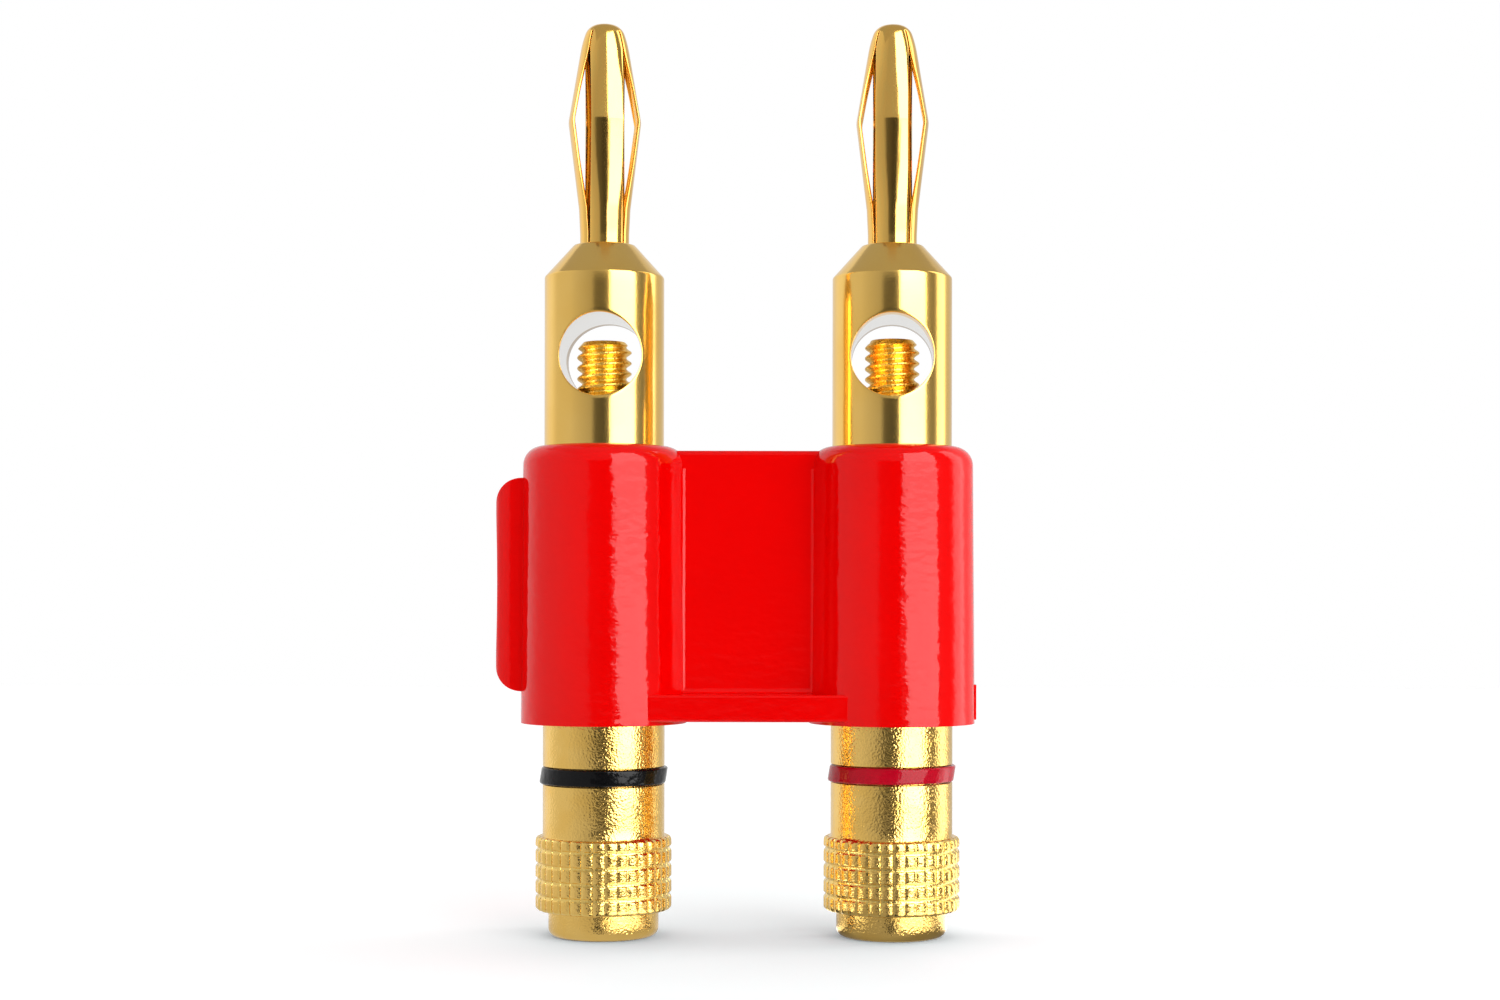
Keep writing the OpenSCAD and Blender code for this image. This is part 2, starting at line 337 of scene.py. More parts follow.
def polished_gold():
    """Bright plating on a turned body, with faint tool lines round it. The core pin has
    painted light, a paler gold, and the wire holes have painted light deep inside and
    painted shade, a dark brown band, near their back mouths."""
    material, shading, shader, place = new_finish("polished_gold", Metallic=1.0)
    cloud = shading.noise(place, scale=0.15, detail=3)
    lines = shading.noise(place, scale=1, detail=2, stretch=(0.02, 0.02, 12))
    grain = shading.noise(place, scale=8, detail=2)
    x, y, z = (shading.part(place, number) for number in range(3))
    plating = shading.mix_colours(cloud.ramp(*GOLD_CLOUDS), GOLD, GOLD_DEEP)
    # Painted light on the core pin above the shoulder.
    core_light = z.ramp_mm(SHOULDER + 0.1, SHOULDER + 0.2)
    # Painted light deep in the wire holes, and painted shade near their back mouths.
    hole_light, hole_shade = in_wire_hole(x, y, z)
    base = shading.mix_colours(core_light, plating, CORE_PAINTED_LIGHT)
    base = shading.mix_colours(hole_shade, base, HOLE_PAINTED_SHADE)
    shading.fill(shader, {
        "Base Color": shading.mix_colours(hole_light, base, HOLE_PAINTED_LIGHT),
        "Roughness": 0.11 + 0.08 * cloud,
        "Normal": shading.relief(0.002 * lines + 0.0025 * grain)})
    return material


def spring_gold():
    """Bright plating on rolled sheet, a little smoother and with long faint streaks."""
    material, shading, shader, place = new_finish("spring_gold", Metallic=1.0)
    streaks = shading.noise(place, scale=4, detail=2, stretch=(1, 1, 0.15))
    base = shading.mix_colours(streaks.ramp(0.4, 0.7), SPRING_GOLD, GOLD_DEEP)
    shading.fill(shader, {
        "Base Color": base,
        "Roughness": 0.08 + 0.06 * streaks,
        "Normal": shading.relief(0.003 * streaks)})
    return material


def satin_gold():
    """Plating over a finely blasted head, which makes it grainy. It is yellower on the
    shank's threads, and painted light makes it paler in the grooves between the grip's
    teeth, which lie below the teeth's radius and above the head's, as far up as the grip
    goes."""
    material, shading, shader, place = new_finish("satin_gold", Metallic=1.0)
    grain = shading.noise(place, scale=6.5, detail=1)
    cloud = shading.noise(place, scale=0.5, detail=2)
    x, y, z = (shading.part(place, number) for number in range(3))
    outward = length_of(x.maths("ABSOLUTE") - RIGHT_X * MM, y)
    # Painted light in the grooves between the grip's teeth.
    groove = (outward.ramp_mm(GRIP_R - 0.02, GRIP_R - 0.07)
              * outward.ramp_mm(HEAD_R - 0.1, HEAD_R)
              * z.ramp_mm(GRIP_TOP, GRIP_TOP - 0.1))
    shank = z.ramp_mm(HEAD_TOP, HEAD_TOP + 1)
    plating = shading.mix_colours(cloud.ramp(*GOLD_CLOUDS), GOLD, GOLD_DEEP)
    plating = shading.mix_colours(groove, plating, GROOVE_PAINTED_LIGHT)
    shading.fill(shader, {
        "Base Color": shading.mix_colours(shank, plating, THREAD_GOLD),
        "Roughness": 0.08 + 0.08 * grain + 0.16 * shank,
        "Normal": shading.relief(0.034 * grain)})
    return material


def red_moulding():
    """Glossy moulded plastic. Broad waves and fine ripples make its highlights uneven."""
    material, shading, shader, place = new_finish("housing", IOR=1.5,
                                                  Specular_IOR_Level=0.25)
    waves = shading.noise(place, scale=0.12, detail=2)
    ripples = shading.noise(place, scale=1.7, detail=2, stretch=(0.5, 0.5, 1))
    base = shading.mix_colours(waves.ramp(0.3, 0.7), HOUSING_RED, HOUSING_RED_PALE)
    shading.fill(shader, {
        "Base Color": base,
        "Roughness": 0.05 + 0.04 * waves,
        "Normal": shading.relief(0.1 * waves + 0.04 * ripples)})
    return material


def soft_plastic(name, base):
    """Soft ring plastic, glossy but lumpy, with a fine tooth to it."""
    material, shading, shader, place = new_finish(name, IOR=1.5, Specular_IOR_Level=0.2)
    lumps = shading.noise(place, scale=1.6, detail=2)
    tooth = shading.noise(place, scale=7, detail=2)
    paler = colour(*(1.15 * c + 0.0005 for c in base))
    shading.fill(shader, {
        "Base Color": shading.mix_colours(lumps, colour(*base), paler),
        "Roughness": 0.08 + 0.1 * tooth,
        "Normal": shading.relief(0.05 * lumps + 0.004 * tooth)})
    return material


# Plug bodies.

BARREL_R = 3.95
COLLAR_H = 1.0
BORE_R = 1.84                          # for the screw, from the foot up to the wire hole
HOLE_Z = 38.1
HOLE_R = 2.7
HOLE_ROUND = 0.1                       # of the wire hole's rim at its sides
RIM_STRETCH = 1.055                    # of the rim's outer edge upwards and downwards
CONE_FOOT = 43.47
CONE_TILT = 42.1                       # of its normal above the horizontal
CONE_ROUND = 0.25
CONE_TOP_R = 2.1
CONE_RIM = (0, 0.08), (0.07, 0.02), (0.15, 0)  # inward and down from the cone's top edge
RECESS_R = 1.64                        # for the spring's band
CORE_R = 1.3
CORE_ROUND = 0.3
BODY_TWISTS = -2.0, -3.2               # of the left and the right body, in degrees
BODY_COLUMNS = 180
WINDOW_COLUMNS = 60                    # the patch round a wire hole, in columns and rows
WINDOW_ROWS = 40
WINDOW_H = 6.6
PATCH_STEPS, RIM_STEPS, WALL_STEPS = 10, 6, 8  # from the window to the hole's middle
BORE_STEPS = 6


def body_outline():
    """Outline of a plug body from its collar, up the barrel and the cone and into the
    spring's recess, to the tip of the core. Returns it and the window's first row."""
    tilt = math.radians(CONE_TILT)
    middle = np.array([BARREL_R - CONE_ROUND, CONE_FOOT - CONE_ROUND * math.tan(tilt / 2)])
    cone_start = middle + CONE_ROUND * np.array([math.cos(tilt), math.sin(tilt)])
    rim = [(CONE_TOP_R - inward, SHOULDER - down) for inward, down in CONE_RIM]
    window_foot = HOLE_Z - WINDOW_H / 2
    window_top = HOLE_Z + WINDOW_H / 2
    below = np.concatenate([
        line((COLLAR_R, BODY_FOOT), (COLLAR_R, BODY_FOOT + COLLAR_H), 1),
        line((COLLAR_R, BODY_FOOT + COLLAR_H), (BARREL_R, BODY_FOOT + COLLAR_H), 1),
        line((BARREL_R, BODY_FOOT + COLLAR_H), (BARREL_R, window_foot), 5)])
    above = np.concatenate([
        line((BARREL_R, window_foot), (BARREL_R, window_top), WINDOW_ROWS),
        line((BARREL_R, window_top), (BARREL_R, middle[1]), 3),
        arc(middle, CONE_ROUND, 0, CONE_TILT, 5),
        line(cone_start, rim[0], 5),
        line(rim[0], rim[1], 1),
        line(rim[1], rim[2], 1),
        line(rim[2], (RECESS_R, SHOULDER), 2),
        line((RECESS_R, SHOULDER), (RECESS_R, SPRING_FOOT), 2),
        line((RECESS_R, SPRING_FOOT), (CORE_R, SPRING_FOOT), 2),
        line((CORE_R, SPRING_FOOT), (CORE_R, CORE_TOP - CORE_ROUND), 14),
        arc((CORE_R - CORE_ROUND, CORE_TOP - CORE_ROUND), CORE_ROUND, 0, 90, 5),
        point(CORE_R - CORE_ROUND, CORE_TOP)])
    return np.concatenate([below, above]), len(below)


def window_border():
    """Border of the patch round a wire hole, anticlockwise from its lower left corner as
    seen from outside: distance round the barrel from the hole's middle, and height."""
    half = BARREL_R * math.pi * WINDOW_COLUMNS / BODY_COLUMNS
    round_barrel = np.linspace(-half, half, WINDOW_COLUMNS + 1)
    height = np.linspace(-WINDOW_H / 2, WINDOW_H / 2, WINDOW_ROWS + 1)
    return (np.concatenate([round_barrel[:-1], np.full(WINDOW_ROWS, half),
                            round_barrel[:0:-1], np.full(WINDOW_ROWS, -half)]),
            np.concatenate([np.full(WINDOW_COLUMNS, height[0]), height[:-1],
                            np.full(WINDOW_COLUMNS, height[-1]), height[:0:-1]]))


def wire_hole_rings():
    """Rings of points from the patch's border to the hole's rim, over the rim and along
    half of the hole, as (sideways, outwards, up) from its middle. The patch is straight
    on the unrolled barrel. The rim is the curve (1-t)^2 A + 2t(1-t) P + t^2 C from A on
    the barrel over the sharp corner P to C in the hole. The wall runs on to the plane
    between the two halves, or to the screw's bore where that opens into it. Also says
    which points of a ring lie over the bore."""
    border, height = window_border()
    turn = np.unwrap(np.arctan2(height, border))
    bore_edge = math.acos(BORE_R / HOLE_R)
    for edge in (bore_edge - math.pi, -bore_edge):
        turn[np.argmin(np.abs(turn - edge))] = edge
    over_bore = (turn >= bore_edge - math.pi) & (turn <= -bore_edge)
    ring = np.stack([np.cos(turn), np.sin(turn)])

    def on_barrel(radius):
        """How far out the barrel's surface is, all along a ring of this radius."""
        return np.sqrt(BARREL_R ** 2 - (radius * ring[0]) ** 2)

    t = np.linspace(0, 1, PATCH_STEPS + 1)[:, None]
    rim_side, rim_up = (HOLE_R + HOLE_ROUND) * ring * [[1], [RIM_STRETCH]]
    angle = ((1 - t) * border + t * BARREL_R * np.arcsin(rim_side / BARREL_R)) / BARREL_R
    patch = np.stack([BARREL_R * np.sin(angle), BARREL_R * np.cos(angle),
                      (1 - t) * height + t * rim_up], axis=-1)
    start = np.stack([rim_side, on_barrel(HOLE_R + HOLE_ROUND), rim_up], axis=-1)
    side, up = HOLE_R * ring
    corner = np.stack([side, on_barrel(HOLE_R), up], axis=-1)
    end = corner - [0, HOLE_ROUND, 0]
    t = np.linspace(0, 1, RIM_STEPS + 1)[1:, None, None]
    rim = (1 - t) ** 2 * start + 2 * t * (1 - t) * corner + t ** 2 * end
    bore_depth = np.sqrt(np.maximum(BORE_R ** 2 - side ** 2, 0))
    inmost = np.stack([side, np.where(over_bore, bore_depth, 0), up], axis=-1)
    t = np.linspace(0, 1, WALL_STEPS + 1)[1:, None, None]
    return np.concatenate([patch, rim, end + t * (inmost - end)]), over_bore


def turn_about(points, middle, degrees):
    """Points turned anticlockwise about a plug's axis, seen from above."""
    angle = math.radians(degrees)
    x, y = points[:, 0] - middle, points[:, 1]
    return np.stack([middle + x * math.cos(angle) - y * math.sin(angle),
                     x * math.sin(angle) + y * math.cos(angle), points[:, 2]], axis=-1)


def plug_body(side, middle, twist, finish):
    """Turned body with a rounded wire hole through it and the screw's bore up into that.
    The barrel's grid leaves out a window in front and one behind, which the rings of the
    wire hole fill. The bore drops from the opening in the hole's wall to the foot."""
    outline, window_row = body_outline()
    turn = np.arange(BODY_COLUMNS) / BODY_COLUMNS
    barrel = turned_points(outline[:, :1], outline[:, 1:], turn[None, :] * TURN, middle)
    row, column = np.divmod(np.arange((len(outline) - 1) * BODY_COLUMNS), BODY_COLUMNS)
    from_front = np.abs(column % (BODY_COLUMNS // 2) + 0.5 - BODY_COLUMNS / 4)
    in_window = ((from_front < WINDOW_COLUMNS // 2)
                 & (row >= window_row) & (row < window_row + WINDOW_ROWS))

    rings, over_bore = wire_hole_rings()
    holes = [np.stack([middle - rings[..., 0] * facing, rings[..., 1] * facing,
                       HOLE_Z + rings[..., 2]], axis=-1) for facing in (-1, 1)]
    mouth = np.concatenate([hole[-1][over_bore][:-1] for hole in holes])
    bore_turn = np.unwrap(np.arctan2(mouth[:, 1], mouth[:, 0] - middle)) / TURN
    foot = np.stack([mouth[:, 0], mouth[:, 1], np.full(len(mouth), BODY_FOOT)], axis=-1)
    t = np.linspace(0, 1, BORE_STEPS + 1)[:, None, None]
    bore = mouth + t * (foot - mouth)

    patches = [barrel, *holes, bore]
    starts = np.cumsum([0] + [patch.shape[0] * patch.shape[1] for patch in patches])
    points = np.concatenate([patch.reshape(-1, 3) for patch in patches]
                            + [[[middle, 0, CORE_TOP]]])
    bore_foot = starts[4] - len(mouth) + np.arange(len(mouth))
    faces = [ring_faces(len(outline), BODY_COLUMNS)[~in_window],
             pole_faces(starts[4], (len(outline) - 1) * BODY_COLUMNS, BODY_COLUMNS, True),
             *(ring_faces(len(patch), patch.shape[1], start)
               for patch, start in zip(patches[1:], starts[1:])),
             zip_faces(bore_foot, bore_turn, np.arange(BODY_COLUMNS), turn)]
    points = turn_about(points, middle, twist)
    add_piece(side + "_plug_body", points, faces, finish, "plug",
              side + "_body")


# Thumbscrews.

FOOT_H = 1.75
FOOT_R = 3.64
FOOT_ROUND = 0.55
FOOT_FILLET = 0.04                     # in the corner under the grip
HEAD_R = 4.025
HEAD_TOP = 18.0
HEAD_EDGE = 0.4
HEAD_MIDDLE_R = 2.2                    # where the head's rings end round the shank
GRIP_TOP = 6.6
GRIP_ROUND = 0.28                      # of the grip's ends
TEETH = 36
ROWS = 5
ROW_PITCH = 1.014
FIRST_GROOVE = 2.78                    # middle of the lowest groove
GROOVE_HALF = 0.145
GROOVE_DEPTH = 0.13
GROOVE_BROADER = 1.35                  # where its sides start, in halves of its width
TOOTH_ACROSS = (0, 0.55, 0.9, 0.93, 1)  # from mid-tooth to mid-gap, and the depth there
TOOTH_SUNK = (0, 0.02, 0.075, 0.115, 0.115)
LEAST_GRIP_R = HEAD_R - 0.02
SOCKET_R = 2.05
SOCKET_DEPTH = 15.2
SOCKET_LEAD = 0.4                      # cone at the socket's mouth, and its rounding
SOCKET_ROUND = 0.12
DRILL_POINT = 1.1
SEAT_R = 3.55                          # bottom of the ring's groove
SEAT_PLAY = 0.03                       # above and below the ring
SEAT_EDGE = 0.05
THREAD_PITCH = 0.7
THREAD_R = 1.8
THREAD_DEPTH = 0.34
THREAD_ROOT = 0.1                      # flat share of a pitch at the root
THREAD_FLANKS = 0.78                   # share of the flanks, and how soft they are
THREAD_SOFT = 0.45
THREAD_ROWS = 12                       # rows of points to a pitch
PLAIN_H = 1.2                          # of the shank's foot, and of the thread's run-out
RUN_OUT_H = 0.8
TIP_FLAT_R = 1.38
TIP_SLOPE = 0.9
SHANK_FOOT_R = 1.55
SHANK_COLUMNS = 90


def tooth_columns():
    """Angles round the grip, gathered at the flanks of the teeth, as a share of a turn."""
    share = np.array([0, 0.035, 0.05, 0.225, 0.36, 0.5, 0.64, 0.775, 0.95, 0.965])
    return (np.arange(TEETH)[:, None] + share).ravel() / TEETH


def grip_outline():
    """Outline of the grip, with more points at its grooves and its round ends. A point h
    from an end is sunk by q - (q^2 - (q - h)^2)^(1/2) there, for rounding q."""
    grooves = FIRST_GROOVE + ROW_PITCH * np.arange(ROWS - 1)
    at_foot = FOOT_H + np.array([0, 0.03, 0.08, 0.15, 0.24])
    in_first_row = np.linspace(FOOT_H + 0.36, grooves[0] - 0.34, 3)
    at_groove = np.array([-0.26, -0.2, -0.145, -0.1, -0.05, 0,
                          0.05, 0.1, 0.145, 0.2, 0.26])
    between = np.array([0.42, 0.6])
    at_top = GRIP_TOP - np.array([0.2, 0.13, 0.07, 0.02, 0])
    z = np.sort(np.concatenate([
        at_foot, in_first_row, *(g + at_groove for g in grooves),
        *(g + between for g in grooves[:-1]), [grooves[-1] + 0.4], at_top]))
    rounded = np.maximum(GRIP_ROUND - np.minimum(z - FOOT_H, GRIP_TOP - z), 0)
    sunk = GRIP_ROUND - np.sqrt(np.maximum(GRIP_ROUND ** 2 - rounded ** 2, 0))
    return np.column_stack([GRIP_R - sunk, z])


def knurled(r, z, turn):
    """Grip surface: the blank's radius less the depth of the groove between two rows and
    that of a tooth's slopes and the gap beside it, (a^3 + b^3)^(1/3) for depths a and b."""
    across = np.abs((turn * TEETH) % 1 - 0.5) * 2
    gap = np.interp(across, TOOTH_ACROSS, TOOTH_SUNK)
    away = np.abs((z - FIRST_GROOVE + ROW_PITCH / 2) % ROW_PITCH - ROW_PITCH / 2)
    away = np.where((z > FIRST_GROOVE - 0.5) & (z < GRIP_TOP - 0.4), away, 1)
    groove = soft_step(GROOVE_BROADER - away / GROOVE_HALF)
    return r - (gap ** 3 + (groove * GROOVE_DEPTH) ** 3) ** (1 / 3)


def thread_radius(z, turn, crest_z, tip_z):
    """Shank radius at a height and a share of a turn: a ridge whose middle climbs one
    pitch in each turn, cut back to a cone at the tip and run out at the foot."""
    ridge = np.abs(((z - crest_z) / THREAD_PITCH - turn) % 1 - 0.5) * 2
    height = np.clip((ridge - THREAD_ROOT) / THREAD_FLANKS, 0, 1)
    height = (1 - THREAD_SOFT) * height + THREAD_SOFT * soft_step(height)
    r = THREAD_R - THREAD_DEPTH * (1 - height)
    run_out = soft_step((z - HEAD_TOP - PLAIN_H) / RUN_OUT_H)
    r = SHANK_FOOT_R + (r - SHANK_FOOT_R) * run_out
    return np.minimum(r, TIP_FLAT_R + TIP_SLOPE * (tip_z - z))


def head_outline(lift):
    """Outline from the bottom of the stacking socket, out over the foot, the grip and the
    ring's groove, to the top of the head. Returns it and where the grip starts and ends."""
    mouth_r = SOCKET_R + SOCKET_LEAD
    ground_r = mouth_r + SOCKET_ROUND
    below = np.concatenate([
        line((SOCKET_R / 2, SOCKET_DEPTH + DRILL_POINT / 2), (SOCKET_R, SOCKET_DEPTH), 2),
        line((SOCKET_R, SOCKET_DEPTH), (SOCKET_R, SOCKET_LEAD), 12),
        line((SOCKET_R, SOCKET_LEAD), (mouth_r, SOCKET_ROUND * 0.4), 3),
        arc((ground_r, SOCKET_ROUND), SOCKET_ROUND, 200, 270, 4),
        line((ground_r, 0), (FOOT_R - FOOT_ROUND, 0), 2),
        arc((FOOT_R - FOOT_ROUND, FOOT_ROUND), FOOT_ROUND, 270, 360, 10),
        line((FOOT_R, FOOT_ROUND), (FOOT_R, FOOT_H - FOOT_FILLET), 4),
        line((FOOT_R, FOOT_H - FOOT_FILLET), (FOOT_R + FOOT_FILLET, FOOT_H), 1)])
    grip = grip_outline()
    seat_foot = RING_FOOT + lift - SEAT_PLAY
    seat_top = RING_TOP + lift + SEAT_PLAY
    edge_r = HEAD_R - SEAT_EDGE
    above = np.concatenate([
        line((HEAD_R + 0.05, GRIP_TOP), (HEAD_R, GRIP_TOP + 0.08), 2),
        line((HEAD_R, GRIP_TOP + 0.08), (HEAD_R, seat_foot - SEAT_EDGE), 5),
        line((HEAD_R, seat_foot - SEAT_EDGE), (edge_r, seat_foot), 1),
        line((edge_r, seat_foot), (SEAT_R, seat_foot), 2),
        line((SEAT_R, seat_foot), (SEAT_R, seat_top), 2),
        line((SEAT_R, seat_top), (edge_r, seat_top), 2),
        line((edge_r, seat_top), (HEAD_R, seat_top + SEAT_EDGE), 1),
        line((HEAD_R, seat_top + SEAT_EDGE), (HEAD_R, HEAD_TOP - HEAD_EDGE), 8),
        arc((HEAD_R - HEAD_EDGE, HEAD_TOP - HEAD_EDGE), HEAD_EDGE, 0, 90, 6),
        line((HEAD_R - HEAD_EDGE, HEAD_TOP), (HEAD_MIDDLE_R, HEAD_TOP), 2),
        point(HEAD_MIDDLE_R, HEAD_TOP)])
    return np.concatenate([below, grip, above]), len(below), len(below) + len(grip)


def thumbscrew(side, middle, body, tooth_phase, crest_z, tip_z, lift, finish):
    """Head and shank as one closed surface. The head's rings have ten points to a tooth;
    the shank's have fewer and are zipped to the last of them. The ring's groove is lifted
    a little from where the solid has it. The teeth are turned by tooth_phase degrees, and
    the thread is set by the height of one crest on the +x side and by its tip's height."""
    outline, grip_start, grip_end = head_outline(lift)
    columns = tooth_columns()
    turn = columns + tooth_phase / 360
    r = np.repeat(outline[:, :1], len(turn), axis=1)
    z = outline[:, 1:]
    in_grip = slice(grip_start, grip_end)
    r[in_grip] = np.maximum(knurled(outline[in_grip, :1], z[in_grip], columns[None, :]),
                            LEAST_GRIP_R)
    head = turned_points(r, z, turn[None, :] * TURN, middle)

    threaded = np.arange(HEAD_TOP + PLAIN_H, tip_z - 0.02, THREAD_PITCH / THREAD_ROWS)
    shank_z = np.concatenate([[HEAD_TOP, HEAD_TOP + PLAIN_H / 2], threaded,
                              [tip_z]])[:, None]
    shank_turn = np.arange(SHANK_COLUMNS) / SHANK_COLUMNS
    shank_r = thread_radius(shank_z, shank_turn[None, :], crest_z, tip_z)
    shank = turned_points(shank_r, shank_z, shank_turn[None, :] * TURN, middle)

    poles = np.array([[middle, 0, SOCKET_DEPTH + DRILL_POINT], [middle, 0, tip_z]])
    points = np.concatenate([head.reshape(-1, 3), shank.reshape(-1, 3), poles])
    last_ring = (len(outline) - 1) * len(turn)
    shank_start = len(outline) * len(turn)
    top_ring = shank_start + (len(shank_z) - 1) * SHANK_COLUMNS
    count = len(points)
    faces = [ring_faces(len(outline), len(turn)),
             zip_faces(last_ring + np.arange(len(turn)), turn,
                       shank_start + np.arange(SHANK_COLUMNS), shank_turn),
             ring_faces(len(shank_z), SHANK_COLUMNS, shank_start),
             pole_faces(count - 2, 0, len(turn), False),
             pole_faces(count - 1, top_ring, SHANK_COLUMNS, True)]
    add_piece(side + "_knurled_screw", points, faces, finish, body,
              side + "_thumbscrew")


# Polarity rings.

RING_BORE_R = 3.6
RING_ROUND = 0.13
RING_LEAN = 0.085                      # more radius at one end of the outer face
RING_COLUMNS = 240
RING_LIFTS = 0.1, 0.27                 # of the left and the right ring, above the solids


def polarity_ring(side, middle, body, lift, unevenness, finish):
    """A soft band of rounded square section. Its outer face leans by RING_LEAN cos a, and
    its radius and edges wave by unevenness times a sum of sines as it goes round."""
    width = RING_TOP - RING_FOOT
    outline = np.concatenate([
        line((RING_BORE_R, 0), (RING_R - RING_ROUND, 0), 3),
        arc((RING_R - RING_ROUND, RING_ROUND), RING_ROUND, 270, 360, 6),
        line((RING_R, RING_ROUND), (RING_R, width - RING_ROUND), 6),
        arc((RING_R - RING_ROUND, width - RING_ROUND), RING_ROUND, 0, 90, 6),
        line((RING_R - RING_ROUND, width), (RING_BORE_R, width), 3),
        line((RING_BORE_R, width), (RING_BORE_R, 0), 3)])
    angle = np.arange(RING_COLUMNS)[None, :] / RING_COLUMNS * TURN
    outer = (outline[:, :1] - RING_BORE_R) / (RING_R - RING_BORE_R)
    up = outline[:, 1:] / width
    foot_wave = sum(np.sin(k * angle + k * k) / k ** 0.6 for k in (2, 5, 9, 16))
    top_wave = sum(np.sin(k * angle + 2 * k * k) / k ** 0.6 for k in (3, 6, 11, 19))
    r = outline[:, :1] + outer * (RING_LEAN * np.cos(angle) * (2 * up - 1)
                                  - 0.5 * unevenness * (1 + foot_wave))
    z = (RING_FOOT + lift + outline[:, 1:]
         + unevenness * outer * ((1 - up) * (0.5 + foot_wave) - up * (0.5 + top_wave)))
    points = turned_points(r, z, angle, middle)
    rows = len(outline)
    faces = [ring_faces(rows, RING_COLUMNS),
             band_faces((rows - 1) * RING_COLUMNS, 0, RING_COLUMNS)]
    add_piece(side + "_colour_ring", points, faces, finish, body, side + "_ring")


# Contact springs.

SHEET = 0.18
SHEET_EDGE = 0.03
BAND_R = 1.62
LEAF_HALF = 1.075                      # half a leaf's width, where there's room for it
SLIT = 0.14                            # least width of a slit
LEAF_FLAT = 0.27                       # share by which a bowed leaf is flatter
BULGE = 8.1                            # height of the bulge above the shoulder
BULGE_BEND = 1.5
BENT_BELOW = 7.3                       # degrees of the bend below and above its middle
BENT_ABOVE = 8.6
DOME_R = 0.93
DOME_MIDDLE_R = 0.42
LEAF_COLUMNS = 14
SLIT_COLUMNS = 2


def spring_outline():
    """Outline of the spring from its band, up over the bowed leaf, to the dome's rim,
    as (radius, height). Returns it with the rows where the slits start and end."""
    low, high = math.radians(BENT_BELOW), math.radians(BENT_ABOVE)
    bend_r = SPRING_R - BULGE_BEND
    bend_z = SHOULDER + BULGE
    bow_low = (bend_r + BULGE_BEND * math.cos(low), bend_z - BULGE_BEND * math.sin(low))
    bow_high = (bend_r + BULGE_BEND * math.cos(high), bend_z + BULGE_BEND * math.sin(high))
    straight_top = (BAND_R, SHOULDER + 0.75)
    lower_leaf = (1.7, SHOULDER + 2.4)
    upper_leaf = (1.6, TIP_TOP - 1.75)
    neck = (1.476, TIP_TOP - 1.112)
    dome_foot = (1.294, TIP_TOP - 0.612)
    dome_middle = (DOME_MIDDLE_R, TIP_TOP - DOME_R)
    foot = line((BAND_R, SPRING_FOOT), (BAND_R, SHOULDER), 3)
    leaf = np.concatenate([
        line((BAND_R, SHOULDER), straight_top, 3),
        line(straight_top, lower_leaf, 5),
        line(lower_leaf, bow_low, 12),
        arc((bend_r, bend_z), BULGE_BEND, -BENT_BELOW, BENT_ABOVE, 10),
        line(bow_high, upper_leaf, 12),
        curve(upper_leaf, neck, dome_foot, 8),
        arc(dome_middle, DOME_R, 20, 28, 2)])
    dome = np.concatenate([
        arc(dome_middle, DOME_R, 28, 90, 9),
        line((DOME_MIDDLE_R, TIP_TOP), (0.1, TIP_TOP), 3)])
    return np.concatenate([foot, leaf, dome]), len(foot), len(foot) + len(leaf)


def contact_spring(side, middle, twist, finish):
    """Band, four leaves and dome as one sheet. A leaf's point stands at sideways distance
    u = R sin(a) and outwards at R - (1 - flat) (R - sqrt(R^2 - u^2)), so the leaves are
    flatter than the band they grow from. The slits' faces are left out."""
    outline, slit_start, slit_end = spring_outline()
    radius, z = outline[:, :1], outline[:, 1:]
    slit = math.radians(45) - np.arcsin(SLIT / 2 / np.maximum(radius, 0.6))
    half = np.minimum(np.arcsin(np.minimum(LEAF_HALF / radius, 0.99)), slit)
    half[slit_end:] = half[slit_end - 1]
    across = np.linspace(-1, 1, LEAF_COLUMNS + 1)[None, :] * half
    between = half + (np.arange(1, SLIT_COLUMNS)[None, :] / SLIT_COLUMNS
                      * (math.radians(90) - 2 * half))
    angle = np.concatenate([across, between], axis=1)
    flat = LEAF_FLAT * soft_step((radius - BAND_R) / 0.5)
    flat[:slit_start] = 0
    flat[slit_end:] = 0
    sideways = radius * np.sin(angle)
    outwards = radius - (1 - flat) * (radius - radius * np.cos(angle))
    quarter = np.arange(4)[:, None, None] * TURN / 4 + math.radians(twist - 90)
    x = middle + outwards * np.cos(quarter) - sideways * np.sin(quarter)
    y = outwards * np.sin(quarter) + sideways * np.cos(quarter)
    rings = np.stack([x, y, z + 0 * x], axis=-1)
    rings = rings.transpose(1, 0, 2, 3).reshape(len(outline), -1, 3)
    columns = rings.shape[1]
    row = np.arange(len(outline) - 1)
    in_slit = np.arange(columns) % (LEAF_COLUMNS + SLIT_COLUMNS) >= LEAF_COLUMNS
    open_rows = (row >= slit_start) & (row < slit_end)
    keep = ~(open_rows[:, None] & in_slit[None, :]).ravel()
    points = np.concatenate([rings.reshape(-1, 3), [[middle, 0, TIP_TOP]]])
    top = (len(outline) - 1) * columns
    faces = [ring_faces(len(outline), columns)[keep],
             pole_faces(len(points) - 1, top, columns, True)]
    spring = add_piece(side + "_leaf_spring", points, faces, finish, "plug",
                       side + "_spring")
    sheet = spring.modifiers.new("sheet", "SOLIDIFY")
    sheet.thickness = SHEET * MM
    sheet.offset = -1
    edges = spring.modifiers.new("edges", "BEVEL")
    edges.width = SHEET_EDGE * MM
    edges.segments = 2
    edges.limit_method = "ANGLE"
    edges.angle_limit = math.radians(50)


# Studio. Azimuths are in degrees from the camera's side towards +x, seen from above, and
# a light level of 1 shows white as white.

